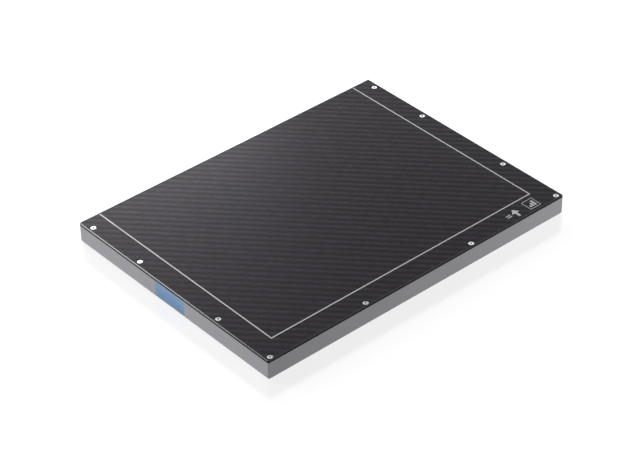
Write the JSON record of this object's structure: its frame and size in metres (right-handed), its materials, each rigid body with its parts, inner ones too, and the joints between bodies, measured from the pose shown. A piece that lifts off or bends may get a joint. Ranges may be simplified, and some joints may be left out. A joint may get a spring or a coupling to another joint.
{
  "type": "mammography detector",
  "caption": "Flat cassette-size X-ray detector with a carbon front plate, grey metal frame, removable battery pack, push button and charging contacts.",
  "frame": {"origin": "centre of the underside, where the detector lies on a table", "axes": "+X along the long side towards the connector side, +Y towards the chest side, +Z out of the front plate"},
  "size_m": [0.266, 0.2, 0.0159],
  "materials": {
    "cast_frame": "satin",
    "carbon_weave": "satin",
    "seal_black": "matte",
    "print_grey": "matte",
    "screw_steel": "satin",
    "screw_black": "satin",
    "foam_grey": "matte",
    "scintillator_white": "satin",
    "sensor_glass": "polished",
    "shield_lead": "matte",
    "plate_magnesium": "satin",
    "flex_amber": "satin",
    "chip_black": "satin",
    "pad_grey": "matte",
    "board_green": "satin",
    "spacer_brass": "satin",
    "coil_grey": "satin",
    "socket_ivory": "satin",
    "can_tin": "satin",
    "tray_black": "matte",
    "contact_gold": "polished",
    "pack_black": "matte",
    "cell_silver": "satin",
    "lock_grey": "matte",
    "cover_grey": "satin",
    "label_blue": "satin",
    "label_silver": "satin",
    "button_grey": "satin",
    "bezel_black": "satin",
    "light_clear": "polished",
    "lamp_white": "satin",
    "antenna_copper": "satin",
    "lead_black": "matte"
  },
  "bodies": {
    "housing": {"side_frame": "cast_frame", "plate_seal": "seal_black", "front_plate": "carbon_weave", "active_area_line": "print_grey", "plate_screws": "screw_steel", "cushion_foam": "foam_grey", "scintillator": "scintillator_white", "sensor_glass": "sensor_glass", "lead_shield": "shield_lead", "chassis_plate": "plate_magnesium", "gate_flexes": "flex_amber", "readout_flexes": "flex_amber", "gate_chips": "chip_black", "readout_chips": "chip_black", "thermal_pads": "pad_grey", "gate_board": "board_green", "readout_board": "board_green", "main_board": "board_green", "power_board": "board_green", "board_standoffs": "spacer_brass", "inner_screws": "screw_steel", "main_board_chips": "chip_black", "gate_board_chips": "chip_black", "readout_board_chips": "chip_black", "power_coils": "coil_grey", "power_capacitors": "socket_ivory", "board_sockets": "socket_ivory", "shock_sensor": "chip_black", "wireless_module": "board_green", "shield_can": "can_tin", "board_ribbons": "flex_amber", "battery_tray": "tray_black", "contact_block": "tray_black", "battery_contacts": "contact_gold", "battery_lead": "flex_amber", "rear_cover": "cover_grey", "rear_cover_screws": "screw_black", "side_label": "label_blue", "rear_label": "label_silver", "io_board": "board_green", "io_ribbon": "flex_amber", "button_bezel": "bezel_black", "power_switch": "tray_black", "status_lamps": "lamp_white", "light_rods": "light_clear", "dock_block": "bezel_black", "dock_pins": "contact_gold", "antenna_windows": "bezel_black", "antennas": "antenna_copper", "antenna_leads": "lead_black"},
    "battery_pack": {"battery_case": "pack_black", "battery_catches": "screw_steel", "battery_lid": "pack_black", "battery_cells": "cell_silver", "battery_board": "board_green", "battery_pads": "contact_gold"},
    "lock_low": {"battery_lock_low": "lock_grey"},
    "lock_high": {"battery_lock_high": "lock_grey"},
    "button": {"power_button": "button_grey", "switch_plunger": "socket_ivory"}
  },
  "joints": [
    {"name": "battery_slide", "type": "slide", "parent": "housing", "child": "battery_pack", "axis": [0, 0, -1], "range_m": [0, 0.02]},
    {"name": "lock_low_slide", "type": "slide", "parent": "housing", "child": "lock_low", "axis": [0, 1, 0], "range_m": [0, 0.002]},
    {"name": "lock_high_slide", "type": "slide", "parent": "housing", "child": "lock_high", "axis": [0, -1, 0], "range_m": [0, 0.002]},
    {"name": "button_push", "type": "slide", "parent": "housing", "child": "button", "axis": [-1, 0, 0], "range_m": [0, 0.0008], "stiffness_N_per_m": 1500, "springref_m": -0.0005}
  ]
}
